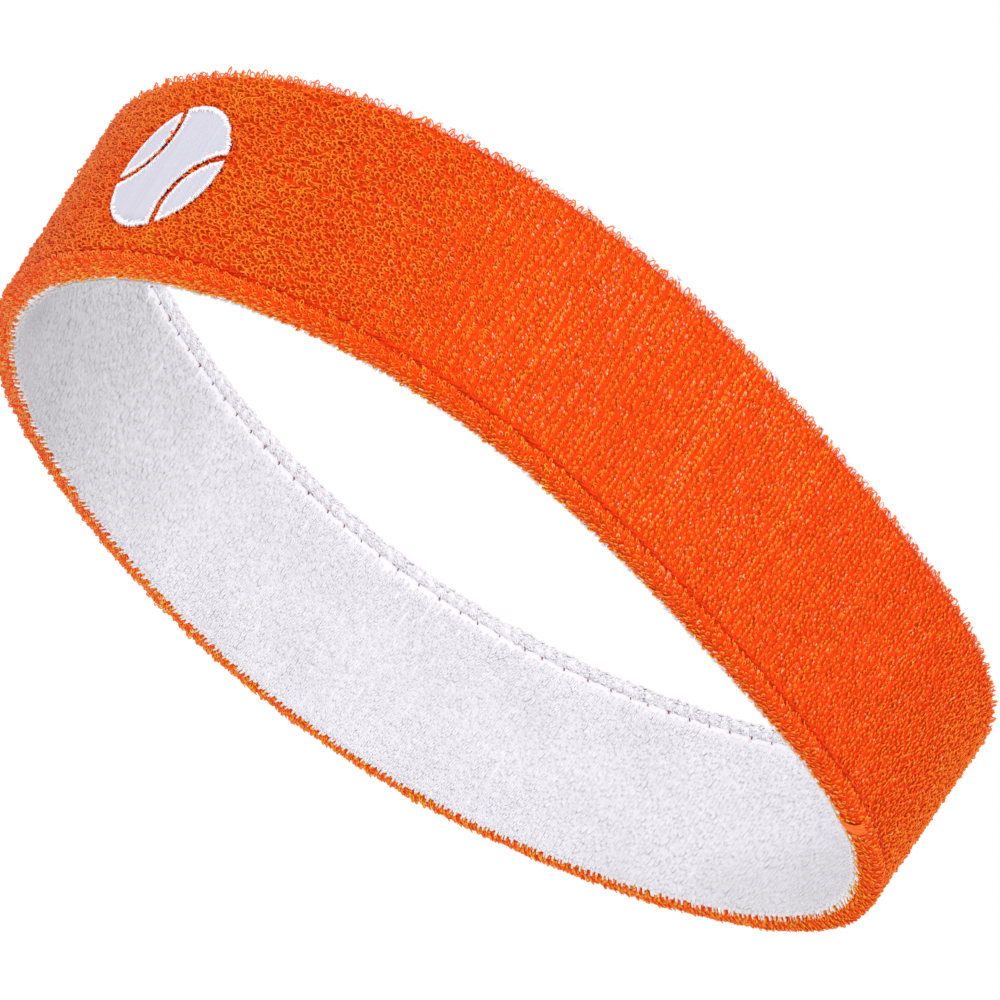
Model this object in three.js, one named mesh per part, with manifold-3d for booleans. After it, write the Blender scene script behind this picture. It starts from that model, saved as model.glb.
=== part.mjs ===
// Sports headband: a two-layer terry knit ring at the size it is worn, standing on its lower edge.
// Millimetres. +Z points towards the crown of the head and -Y is the front, where the emblem is.
// Depth is measured outwards from the face that touches the head.
import * as THREE from 'three';
import { mergeVertices } from 'three/addons/utils/BufferGeometryUtils.js';
import Module from 'manifold-3d';

// ---- Oval of the head ----
const MEAN_INNER_RADIUS = 88;
const LENGTHEN = 0.068; // front to back is longer than side to side
const LENGTHEN_TURN = THREE.MathUtils.degToRad(-3.5); // the long way is this far off the front
const EGG = 0.036; // one end is larger than the other
const EGG_TURN = THREE.MathUtils.degToRad(14); // the larger end is this far off the front
const SHOULDER = 0.018; // the quarters are fuller than an ellipse
const FLARE = 0.034; // the head widens upwards, so the upper rim is this much larger
const STEPS_AROUND = 72;

// ---- Heights ----
const BAND_HEIGHT = 45;
const WELT_HEIGHT = 3.4;
const CREASE = 1.3; // gap between a welt and its layer, which holds the linking thread
const INNER_LIFT = 1; // the white layer ends this far above the lower edge
const OUTER_DROP = 2; // the orange layer ends this far below the upper edge

// ---- Depths through the thickness ----
const INNER_FACE = 0;
const INNER_BACK = 2.5;
const ELASTIC_DEPTH = 3.05;
const BACKING_FACE = 3.6;
const BACKING_BACK = 3.9;
const OUTER_BACK = 4.2;
const OUTER_FACE = 6.8;
const WELT_BULGE = 0.2; // a welt stands proud of its own layer
const TOUCH_GAP = 0.3;

// ---- Rounding and threads ----
const LAYER_CORNER = 1.2;
const WELT_CORNER = 1.3;
const CORNER_STEPS = 2;
const LINKING_RADIUS = 0.35;
const LINKING_INSET = 0.8;
const EDGE_STITCH_RADIUS = 0.25;
const ELASTIC_RADIUS = 0.25;
const ELASTIC_COUNT = 6;
const ELASTIC_MARGIN = 8;
const THREAD_SIDES = 6;

// ---- Emblem: a plain ball with two curved seams ----
const EMBLEM_HEIGHT = 21.5;
const EMBLEM_ANGLE = 0;
const EMBLEM_RADIUS = 13;
const EMBLEM_TILT = THREE.MathUtils.degToRad(-28);
const EMBLEM_FACE = 6.5;
const EMBLEM_THICKNESS = 1;
const BALL_SEAM_OFFSET = 17;
const BALL_SEAM_INNER = 10.2;
const BALL_SEAM_OUTER = 11.8;
const HALO_RADIUS = 14.2;
const BACKING_RADIUS = 16;
const EMBLEM_SIDES = 48;

// ---- Tack that ends the lower linking thread ----
const TACK_ANGLE = THREE.MathUtils.degToRad(117.5);
const TACK_WIDTH = 4;
const TACK_HEIGHT = 2.4;
const TACK_THICKNESS = 0.5;

const TURN = 2 * Math.PI;
const LATHE_RADIUS = 90; // radius that a section is turned at before it is bent to the oval
const WELD = 1e-4;

const wasm = await Module();
wasm.setup();

// ---- Materials ----
const materials = {
  orangeTerry: new THREE.MeshStandardMaterial({ color: 0xff6414, roughness: 0.95, metalness: 0 }),
  whiteTerry: new THREE.MeshStandardMaterial({ color: 0xe6e4ec, roughness: 0.95, metalness: 0 }),
  orangeThread: new THREE.MeshStandardMaterial({ color: 0xf04a10, roughness: 0.7, metalness: 0 }),
  redThread: new THREE.MeshStandardMaterial({ color: 0x9c1c14, roughness: 0.7, metalness: 0 }),
  whiteThread: new THREE.MeshStandardMaterial({ color: 0xf4f2f8, roughness: 0.6, metalness: 0 }),
  satin: new THREE.MeshStandardMaterial({ color: 0xe4e2ee, roughness: 0.45, metalness: 0 }),
  elastic: new THREE.MeshStandardMaterial({ color: 0xf2efe6, roughness: 0.6, metalness: 0 }),
  stabiliser: new THREE.MeshStandardMaterial({ color: 0xfafafa, roughness: 0.9, metalness: 0 }),
};

// How much larger the oval is at a height than at the lower rim.
function flareAt(height) {
  return 1 + (FLARE * height) / BAND_HEIGHT;
}

// Radius of the head-side face at an angle from the front and a height.
function innerRadius(angle, height) {
  const longer = LENGTHEN * Math.cos(2 * (angle - LENGTHEN_TURN));
  const egg = EGG * Math.cos(3 * (angle - EGG_TURN));
  const shoulder = SHOULDER * Math.cos(4 * angle);
  return MEAN_INNER_RADIUS * flareAt(height) * (1 + longer + egg - shoulder);
}

// Welds a geometry into one closed surface with shared corners.
function weld(geometry) {
  geometry.deleteAttribute('normal');
  geometry.deleteAttribute('uv');
  return mergeVertices(geometry, WELD);
}

// Turns a closed section of (depth, height) points and bends the circle to the oval.
function ring(section) {
  const profile = section.map((point) => new THREE.Vector2(LATHE_RADIUS + point.x, point.y));
  profile.push(profile[0].clone());
  const geometry = weld(new THREE.LatheGeometry(profile, STEPS_AROUND));
  const position = geometry.attributes.position;
  for (let i = 0; i < position.count; i += 1) {
    const x = position.getX(i);
    const z = position.getZ(i);
    const height = position.getY(i);
    const angle = Math.atan2(x, z);
    const radius = innerRadius(angle, height) + Math.hypot(x, z) - LATHE_RADIUS;
    position.setXYZ(i, radius * Math.sin(angle), -radius * Math.cos(angle), height);
  }
  return geometry;
}

// Section of a knitted layer or welt: a rectangle with rounded corners, counter-clockwise.
function roundedSection(depthLow, depthHigh, low, high, corner) {
  const centres = [
    [depthHigh - corner, low + corner],
    [depthHigh - corner, high - corner],
    [depthLow + corner, high - corner],
    [depthLow + corner, low + corner],
  ];
  const points = [];
  centres.forEach(([depth, height], quarter) => {
    for (let step = 0; step <= CORNER_STEPS; step += 1) {
      const angle = (quarter - 1 + step / CORNER_STEPS) * (TURN / 4);
      points.push(new THREE.Vector2(depth + corner * Math.cos(angle), height + corner * Math.sin(angle)));
    }
  });
  return points;
}

// Section of a thread that runs round the band.
function threadSection(depth, height, radius) {
  const points = [];
  for (let side = 0; side < THREAD_SIDES; side += 1) {
    const angle = (side / THREAD_SIDES) * TURN;
    points.push(new THREE.Vector2(depth + radius * Math.cos(angle), height + radius * Math.sin(angle)));
  }
  return points;
}

// Square-cornered section, for the skins that flat patches are cut from.
function skinSection(depthLow, depthHigh, low, high) {
  return [
    new THREE.Vector2(depthHigh, low),
    new THREE.Vector2(depthHigh, high),
    new THREE.Vector2(depthLow, high),
    new THREE.Vector2(depthLow, low),
  ];
}

function toManifold(geometry) {
  const welded = weld(geometry);
  return new wasm.Manifold(new wasm.Mesh({
    numProp: 3,
    vertProperties: Float32Array.from(welded.attributes.position.array),
    triVerts: Uint32Array.from(welded.index.array),
  }));
}

function toGeometry(manifold) {
  const result = manifold.getMesh();
  const geometry = new THREE.BufferGeometry();
  geometry.setAttribute('position', new THREE.BufferAttribute(result.vertProperties, 3));
  geometry.setIndex(new THREE.BufferAttribute(result.triVerts, 1));
  return geometry;
}

// A flat outline carried out through the band along a direction at an angle from the front.
function prism(shape, angle = EMBLEM_ANGLE) {
  const reach = 2 * LATHE_RADIUS;
  const settings = { depth: reach, bevelEnabled: false, curveSegments: EMBLEM_SIDES };
  const geometry = new THREE.ExtrudeGeometry(shape, settings);
  geometry.rotateX(TURN / 4);
  geometry.rotateZ(angle);
  return toManifold(geometry);
}

function discShape(x, height, radius) {
  const shape = new THREE.Shape();
  shape.absarc(x, height, radius, 0, TURN);
  return shape;
}

// A skin of the band between two depths, kept only where the prism crosses it.
function patch(depthLow, depthHigh, cutter) {
  return toManifold(ring(skinSection(depthLow, depthHigh, 0, BAND_HEIGHT))).intersect(cutter);
}

// ---- Knitted layers and welts ----
function outerTerryLayer() {
  const high = BAND_HEIGHT - OUTER_DROP;
  const low = WELT_HEIGHT + CREASE;
  const layer = toManifold(ring(roundedSection(OUTER_BACK, OUTER_FACE, low, high, LAYER_CORNER)));
  const haloFloor = EMBLEM_FACE - EMBLEM_THICKNESS - TOUCH_GAP;
  const halo = prism(discShape(0, EMBLEM_HEIGHT, HALO_RADIUS));
  return toGeometry(layer.subtract(patch(haloFloor, OUTER_FACE + 1, halo)));
}

function innerTerryLayer() {
  const high = BAND_HEIGHT - WELT_HEIGHT - CREASE;
  return ring(roundedSection(INNER_FACE, INNER_BACK, INNER_LIFT, high, LAYER_CORNER));
}

function lowerWelt() {
  const depthLow = INNER_BACK + TOUCH_GAP;
  return ring(roundedSection(depthLow, OUTER_FACE + WELT_BULGE, 0, WELT_HEIGHT, WELT_CORNER));
}

function upperWelt() {
  const low = BAND_HEIGHT - WELT_HEIGHT;
  const depthHigh = OUTER_BACK - TOUCH_GAP;
  return ring(roundedSection(INNER_FACE - WELT_BULGE, depthHigh, low, BAND_HEIGHT, WELT_CORNER));
}

// ---- Threads ----
function lowerLinkingThread() {
  const height = WELT_HEIGHT + CREASE / 2;
  return ring(threadSection(OUTER_FACE - LINKING_INSET, height, LINKING_RADIUS));
}

function upperLinkingThread() {
  const height = BAND_HEIGHT - WELT_HEIGHT - CREASE / 2;
  return ring(threadSection(INNER_FACE + LINKING_INSET, height, LINKING_RADIUS));
}

function lowerEdgeStitch() {
  const depth = INNER_BACK - 0.2;
  const height = INNER_LIFT - EDGE_STITCH_RADIUS;
  return ring(threadSection(depth, height, EDGE_STITCH_RADIUS));
}

function upperEdgeStitch() {
  const depth = OUTER_BACK + TOUCH_GAP;
  const height = BAND_HEIGHT - OUTER_DROP + 0.4;
  return ring(threadSection(depth, height, EDGE_STITCH_RADIUS));
}

function elasticThread(index) {
  const run = BAND_HEIGHT - 2 * ELASTIC_MARGIN;
  const height = ELASTIC_MARGIN + (run * index) / (ELASTIC_COUNT - 1);
  return ring(threadSection(ELASTIC_DEPTH, height, ELASTIC_RADIUS));
}

function linkingTack() {
  const low = WELT_HEIGHT / 2 - TACK_HEIGHT / 2;
  const shape = new THREE.Shape([
    new THREE.Vector2(-TACK_WIDTH / 2, low),
    new THREE.Vector2(TACK_WIDTH / 2, low),
    new THREE.Vector2(TACK_WIDTH / 2, low + TACK_HEIGHT),
    new THREE.Vector2(-TACK_WIDTH / 2, low + TACK_HEIGHT),
  ]);
  const depthLow = OUTER_FACE + WELT_BULGE + TOUCH_GAP;
  return toGeometry(patch(depthLow, depthLow + TACK_THICKNESS, prism(shape, TACK_ANGLE)));
}

// ---- Emblem ----
// Centre of a ball seam's circle, to one side of the ball along its tilted axis.
function ballSeamShape(side, radius) {
  const x = side * BALL_SEAM_OFFSET * Math.cos(EMBLEM_TILT);
  const height = EMBLEM_HEIGHT + side * BALL_SEAM_OFFSET * Math.sin(EMBLEM_TILT);
  return discShape(x, height, radius);
}

function emblemSkin(cutter) {
  return toGeometry(patch(EMBLEM_FACE - EMBLEM_THICKNESS, EMBLEM_FACE, cutter));
}

function emblemCentrePanel() {
  const ball = prism(discShape(0, EMBLEM_HEIGHT, EMBLEM_RADIUS));
  const left = prism(ballSeamShape(-1, BALL_SEAM_OUTER));
  const right = prism(ballSeamShape(1, BALL_SEAM_OUTER));
  return emblemSkin(ball.subtract(left).subtract(right));
}

function emblemSidePanel(side) {
  const ball = prism(discShape(0, EMBLEM_HEIGHT, EMBLEM_RADIUS));
  return emblemSkin(ball.intersect(prism(ballSeamShape(side, BALL_SEAM_INNER))));
}

function emblemBacking() {
  const outline = prism(discShape(0, EMBLEM_HEIGHT, BACKING_RADIUS));
  return toGeometry(patch(BACKING_FACE, BACKING_BACK, outline));
}

// ---- Assembly ----
const headband = new THREE.Group();

function add(name, geometry, material) {
  geometry.computeVertexNormals();
  const mesh = new THREE.Mesh(geometry, material);
  mesh.name = name;
  headband.add(mesh);
}

add('outer_terry_layer', outerTerryLayer(), materials.orangeTerry);
add('inner_terry_layer', innerTerryLayer(), materials.whiteTerry);
add('lower_welt', lowerWelt(), materials.orangeTerry);
add('upper_welt', upperWelt(), materials.whiteTerry);
add('lower_linking_thread', lowerLinkingThread(), materials.orangeThread);
add('upper_linking_thread', upperLinkingThread(), materials.redThread);
add('lower_edge_stitch', lowerEdgeStitch(), materials.whiteThread);
add('upper_edge_stitch', upperEdgeStitch(), materials.orangeThread);
add('linking_tack', linkingTack(), materials.orangeThread);
for (let index = 0; index < ELASTIC_COUNT; index += 1) {
  add(`elastic_thread_${index + 1}`, elasticThread(index), materials.elastic);
}
add('emblem_centre_panel', emblemCentrePanel(), materials.satin);
add('emblem_left_panel', emblemSidePanel(-1), materials.satin);
add('emblem_right_panel', emblemSidePanel(1), materials.satin);
add('emblem_backing', emblemBacking(), materials.stabiliser);

// The oval isn't the same at both ends, so its middle is moved onto the origin.
const middle = new THREE.Box3().setFromObject(headband).getCenter(new THREE.Vector3());
headband.position.set(-middle.x, -middle.y, 0);

export default headband;
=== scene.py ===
import math

import bpy
import numpy as np
from mathutils import Matrix, Vector


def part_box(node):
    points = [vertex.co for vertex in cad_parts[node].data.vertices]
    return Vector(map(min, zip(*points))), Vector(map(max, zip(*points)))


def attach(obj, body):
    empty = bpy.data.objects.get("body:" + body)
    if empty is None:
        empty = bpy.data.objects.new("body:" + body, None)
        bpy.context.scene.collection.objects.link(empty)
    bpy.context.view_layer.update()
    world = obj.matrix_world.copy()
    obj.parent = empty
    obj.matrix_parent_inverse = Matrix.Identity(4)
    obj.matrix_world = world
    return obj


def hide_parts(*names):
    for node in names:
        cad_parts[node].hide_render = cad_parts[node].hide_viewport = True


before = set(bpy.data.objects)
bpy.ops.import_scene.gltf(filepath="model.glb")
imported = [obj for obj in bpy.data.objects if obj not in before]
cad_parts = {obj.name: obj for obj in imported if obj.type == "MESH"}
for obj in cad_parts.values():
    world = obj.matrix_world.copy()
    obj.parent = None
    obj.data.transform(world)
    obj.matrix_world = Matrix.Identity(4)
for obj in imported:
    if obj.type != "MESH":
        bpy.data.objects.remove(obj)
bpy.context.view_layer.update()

MM = 0.001
BODY = "root"
UV_NAME = "OFBake"
BAND_RADIUS = 95.0  # turns a length round the band into an angle, closely enough for spacing

# ---- The oval of the CAD model ----
MEAN_INNER_RADIUS = 88.0
LENGTHEN = 0.068
LENGTHEN_TURN = math.radians(-3.5)
EGG = 0.036
EGG_TURN = math.radians(14)
SHOULDER = 0.018
FLARE = 0.034
BAND_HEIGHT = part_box("upper_welt")[1][2] / MM
WELT_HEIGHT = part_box("lower_welt")[1][2] / MM
OUTER_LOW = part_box("outer_terry_layer")[0][2] / MM
OUTER_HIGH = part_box("outer_terry_layer")[1][2] / MM
INNER_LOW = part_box("inner_terry_layer")[0][2] / MM
INNER_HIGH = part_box("inner_terry_layer")[1][2] / MM
LAYER_CORNER = 1.2
OUTER_BACK = 4.2
OUTER_FACE = 6.8

# ---- The emblem ----
EMBLEM_ANGLE = 0.0
EMBLEM_HEIGHT = 21.5
EMBLEM_RADIUS = 13.0
EMBLEM_TILT = math.radians(-28)
BALL_SEAM_OFFSET = 17.0
BALL_SEAM_INNER = 10.2
BALL_SEAM_OUTER = 11.8
EMBLEM_FACE = 6.5
EMBLEM_SINK = 0.2  # the stitches are drawn down this far into the pile
EMBLEM_ARC_RADIUS = 101.0  # radius that turns a length along the band into an angle at the emblem

TACK_ANGLE = math.radians(117.5)

# ---- How finely things are drawn ----
OVAL_SAMPLES = 1441
GIRTH_SAMPLES = 4096
CORNER_STEP = 0.05  # longest step round a section's corner
CORNER_STEPS_LEAST = 4
LOOP_POINTS = 7
COARSE_LOOP_POINTS = 6
FLECK_POINTS = 5
THREAD_SIDES = 6
GROUND_STEPS = 900  # round the band
ROLL_STEPS = 1500
SECTION_STEP = 0.8


# ==== The oval and sections through the band ====

def oval(angle, height):
    """Radius of the head-side face, and its rate of change with angle."""
    scale = MEAN_INNER_RADIUS * (1 + FLARE * height / BAND_HEIGHT)
    longer = 2 * (angle - LENGTHEN_TURN)
    egg = 3 * (angle - EGG_TURN)
    wave = 1 + LENGTHEN * np.cos(longer) + EGG * np.cos(egg) - SHOULDER * np.cos(4 * angle)
    slope = 4 * SHOULDER * np.sin(4 * angle)
    slope = slope - 2 * LENGTHEN * np.sin(longer) - 3 * EGG * np.sin(egg)
    return scale * wave, scale * slope


def oval_centre():
    """Where the oval's own centre is, once the middle of the band is on the origin."""
    angle = np.linspace(0, 2 * math.pi, OVAL_SAMPLES)
    radius = oval(angle, OUTER_HIGH - LAYER_CORNER)[0] + OUTER_FACE
    x, y = radius * np.sin(angle), -radius * np.cos(angle)
    return -(x.max() + x.min()) / 2, -(y.max() + y.min()) / 2


CENTRE_X, CENTRE_Y = oval_centre()


def place(angle, depth, height):
    """A point at an angle from the front, a depth from the head-side face and a height."""
    radius = oval(angle, height)[0] + depth
    x = CENTRE_X + radius * np.sin(angle)
    return np.stack([x, CENTRE_Y - radius * np.cos(angle), height + 0 * x], axis=-1)


class Section:
    """A rounded rectangle of (depth, height) that runs round the band, followed by its length.

    It starts on the outer side going up. The turn is the direction that the surface faces, in
    degrees: 0 outwards, 90 up, 180 to the head and 270 down."""

    def __init__(self, depth_low, depth_high, low, high, corner):
        corners = [
            (depth_high - corner, high - corner),
            (depth_low + corner, high - corner),
            (depth_low + corner, low + corner),
            (depth_high - corner, low + corner),
        ]
        points = [(depth_high, low + corner, 0.0)]
        arc_steps = max(CORNER_STEPS_LEAST, int(corner * math.pi / 2 / CORNER_STEP))
        for quarter, (depth, height) in enumerate(corners):
            for step in range(arc_steps + 1):
                turn = (quarter + step / arc_steps) * 90.0
                sine = math.sin(math.radians(turn))
                cosine = math.cos(math.radians(turn))
                points.append((depth + corner * cosine, height + corner * sine, turn))
        table = np.array(points)
        lengths = np.hypot(*np.diff(table[:, :2], axis=0).T)
        along = np.concatenate([[0.0], np.cumsum(lengths)])
        self.length = along[-1]
        self.along = np.concatenate([along[:-1] - self.length, along[:-1], along + self.length])
        self.depth = np.concatenate([table[:-1, 0], table[:-1, 0], table[:, 0]])
        self.height = np.concatenate([table[:-1, 1], table[:-1, 1], table[:, 1]])
        self.turn = np.concatenate([table[:-1, 2] - 360, table[:-1, 2], table[:, 2] + 360])

    def span(self, turn_from, turn_to):
        """The lengths between which the surface faces from one turn to another."""
        first = np.searchsorted(self.turn, turn_from, side="left")
        last = np.searchsorted(self.turn, turn_to, side="right") - 1
        return self.along[first], self.along[last]

    def surface(self, angle, along, lift=0.0):
        """Points of the surface with their axes: round the band, along the section, outwards."""
        depth = np.interp(along, self.along, self.depth)
        height = np.interp(along, self.along, self.height)
        turn = np.radians(np.interp(along, self.along, self.turn))
        depth = depth + lift * np.cos(turn)
        height = height + lift * np.sin(turn)
        radius, slope = oval(angle, height)
        radius = radius + depth
        sine, cosine = np.sin(angle), np.cos(angle)
        round_x = slope * sine + radius * cosine
        round_y = radius * sine - slope * cosine
        size = np.hypot(round_x, round_y)
        zero = np.zeros_like(size)
        along_band = np.stack([round_x / size, round_y / size, zero], axis=-1)
        outwards = np.stack([round_y / size, -round_x / size, zero], axis=-1)
        upwards = np.stack([zero, zero, zero + 1], axis=-1)
        facing = np.cos(turn)[..., None] * outwards + np.sin(turn)[..., None] * upwards
        up_section = np.cos(turn)[..., None] * upwards - np.sin(turn)[..., None] * outwards
        return place(angle, depth, height), along_band, up_section, facing


def angles_by_length(depth, height, count, widen=None):
    """Angles of points that are evenly spaced round the band, or further apart where it widens,
    and the length round it."""
    angle = np.linspace(0, 2 * math.pi, GIRTH_SAMPLES + 1)
    steps = np.linalg.norm(np.diff(place(angle, depth, height), axis=0), axis=1)
    if widen is not None:
        steps = steps / widen(angle[1:])
    along = np.concatenate([[0.0], np.cumsum(steps)])
    wanted = (np.arange(count) + 0.5) / count * along[-1]
    return np.interp(wanted, along, angle), along[-1]


def signed(angle):
    """An angle from the front, between minus and plus half a turn."""
    return (angle + math.pi) % (2 * math.pi) - math.pi


def smooth(low, high, value):
    """0 at low and beyond it, 1 at high and beyond it, and a smooth change between them."""
    t = np.clip((value - low) / (high - low), 0, 1)
    return t * t * (3 - 2 * t)


RIPPLE_WAVES = 9
RIPPLE_RISE = 0.35  # radians for each millimetre of height, at most


def ripple(angle, height, seed, fastest=26):
    """Smooth noise over the band, about -1 to 1, that closes on itself."""
    source = np.random.default_rng(seed)
    total = np.zeros(np.broadcast(angle, height).shape)
    for _ in range(RIPPLE_WAVES):
        turns = source.integers(1, fastest)
        rise = source.uniform(-RIPPLE_RISE, RIPPLE_RISE)
        total = total + np.sin(turns * angle + rise * height + source.uniform(0, 2 * math.pi))
    return total / math.sqrt(RIPPLE_WAVES)


# ==== Meshes ====

class Soup:
    """Collects polygons with a tint for each vertex and a place on the texture for each corner."""

    def __init__(self):
        self.vertices, self.tints, self.faces, self.sizes, self.uvs = [], [], [], [], []
        self.count = 0

    def add(self, vertices, tints, faces, uvs):
        """Adds vertices and faces on them, and gives the number that the first vertex has."""
        start = self.count
        self.vertices.append(vertices.reshape(-1, 3))
        self.tints.append(np.broadcast_to(tints, vertices.shape).reshape(-1, 3))
        self.count += self.vertices[-1].shape[0]
        self.add_faces(start, faces, uvs)
        return start

    def add_faces(self, start, faces, uvs):
        """Adds faces whose corners count vertices from start."""
        faces = faces.reshape(-1, faces.shape[-1])
        self.faces.append((faces + start).ravel())
        self.sizes.append(np.full(len(faces), faces.shape[1]))
        self.uvs.append(uvs.reshape(-1, 2))

    def piece(self, name, material):
        """Makes the mesh, in metres, and an object that shows it."""
        mesh = bpy.data.meshes.new(name)
        vertices = np.concatenate(self.vertices) * MM
        corners = np.concatenate(self.faces)
        sizes = np.concatenate(self.sizes)
        mesh.vertices.add(len(vertices))
        mesh.vertices.foreach_set("co", vertices.astype(np.float32).ravel())
        mesh.loops.add(len(corners))
        mesh.loops.foreach_set("vertex_index", corners.astype(np.int32))
        mesh.polygons.add(len(sizes))
        starts = np.concatenate([[0], np.cumsum(sizes)[:-1]])
        mesh.polygons.foreach_set("loop_start", starts.astype(np.int32))
        mesh.polygons.foreach_set("use_smooth", np.ones(len(sizes), dtype=bool))
        tint = mesh.attributes.new("tint", "FLOAT_COLOR", "POINT")
        colours = np.ones((len(vertices), 4), dtype=np.float32)
        colours[:, :3] = np.concatenate(self.tints)
        tint.data.foreach_set("color", colours.ravel())
        uv = mesh.uv_layers.new(name=UV_NAME)
        uv.data.foreach_set("uv", np.concatenate(self.uvs).astype(np.float32).ravel())
        mesh.update(calc_edges=True)
        mesh.materials.append(material)
        ob = bpy.data.objects.new(name, mesh)
        bpy.context.scene.collection.objects.link(ob)
        return ob


TINY = 1e-9  # keeps a division by nothing away


def unit(v):
    return v / np.maximum(np.linalg.norm(v, axis=-1, keepdims=True), TINY)


CELL_MARGIN = 0.12  # share of a tube's cell of the texture that is left free at each side


def add_tubes(soup, paths, radii, across, tints, sides=4):
    """Adds closed tubes. paths is (tubes, points, 3), radii (tubes, points), across (tubes, 3)
    is a direction that no path runs along, and tints is (tubes, points, 3)."""
    count, points, _ = paths.shape
    ahead = unit(np.gradient(paths, axis=1))
    side = unit(np.cross(ahead, across[:, None, :]))
    other = np.cross(ahead, side)
    turn = (np.arange(sides) + 0.5) / sides * 2 * math.pi
    ring = side[:, :, None, :] * np.cos(turn)[None, None, :, None]
    ring = ring + other[:, :, None, :] * np.sin(turn)[None, None, :, None]
    vertices = paths[:, :, None, :] + radii[:, :, None, None] * ring
    index = np.arange(count * points * sides).reshape(count, points, sides)
    following = np.roll(index, -1, axis=2)
    walls = np.stack([index[:, :-1], following[:, :-1], following[:, 1:], index[:, 1:]], axis=-1)
    caps = np.concatenate([index[:, 0, ::-1], index[:, -1, :]])
    # each tube has its own cell of the texture
    columns = math.ceil(math.sqrt(count))
    rows = math.ceil(count / columns)
    cell_v, cell_u = np.divmod(np.arange(count), columns)
    span = 1 - 2 * CELL_MARGIN
    step = np.arange(points - 1) / (points - 1)
    step_next = np.arange(1, points) / (points - 1)
    part = np.arange(sides) / sides
    part_next = np.arange(1, sides + 1) / sides
    u, v = np.zeros((2, count, points - 1, sides, 4))
    for corner, (us, vs) in enumerate([(step, part), (step, part_next),
                                       (step_next, part_next), (step_next, part)]):
        u[..., corner] = cell_u[:, None, None] + CELL_MARGIN + span * us[None, :, None]
        v[..., corner] = cell_v[:, None, None] + CELL_MARGIN + span * vs[None, None, :]
    wall_uvs = np.stack([u / columns, v / rows], axis=-1)
    cap_uvs = np.zeros((2 * count, sides, 2))
    cap_uvs[:count, :, 0] = ((cell_u + CELL_MARGIN) / columns)[:, None]
    cap_uvs[count:, :, 0] = ((cell_u + 1 - CELL_MARGIN) / columns)[:, None]
    cap_uvs[..., 1] = np.tile((cell_v + 0.5) / rows, 2)[:, None]
    start = soup.add(vertices, tints[:, :, None, :], walls, wall_uvs)
    soup.add_faces(start, caps, cap_uvs)


def thread_piece(name, paths, radii, across, tints, material):
    """A piece of round threads, one for each path."""
    soup = Soup()
    add_tubes(soup, paths, radii, across, tints, sides=THREAD_SIDES)
    return soup.piece(name, material)


def add_band(soup, section, steps, section_steps, lift, tint):
    """Adds a closed ring of a section. lift and tint are functions of (angle, along)."""
    angle, _ = angles_by_length(0, 0, steps)
    along = np.arange(section_steps) / section_steps * section.length
    angle_grid, along_grid = np.meshgrid(angle, along, indexing="ij")
    point, _, _, _ = section.surface(angle_grid, along_grid, lift(angle_grid, along_grid))
    index = np.arange(steps * section_steps).reshape(steps, section_steps)
    right = np.roll(index, -1, axis=0)
    up = np.roll(index, -1, axis=1)
    corner = np.roll(right, -1, axis=1)
    faces = np.stack([index, right, corner, up], axis=-1)
    u0, v0 = np.meshgrid(np.arange(steps), np.arange(section_steps), indexing="ij")
    corner_u = np.stack([u0, u0 + 1, u0 + 1, u0], axis=-1) / steps
    corner_v = np.stack([v0, v0, v0 + 1, v0 + 1], axis=-1) / section_steps
    soup.add(point, tint(angle_grid, along_grid), faces, np.stack([corner_u, corner_v], axis=-1))


# ==== Materials ====

FIBRE_SCALE = 2600.0
FIBRE_DETAIL = 3.0
ROUGHNESS_SPREAD = 0.08
SHEEN_ROUGHNESS = 0.45
BUMP_STRENGTH = 0.6
BUMP_DISTANCE = 0.0002
KNIT_RELIEF = 1500.0
ORANGE_SHEEN = (1.0, 0.40, 0.16)
PURE = (1.0, 1.0, 1.0)


def add_node(nodes, kind, inputs):
    node = nodes.new(kind)
    for name, value in inputs.items():
        node.inputs[name].default_value = value
    return node


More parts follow.
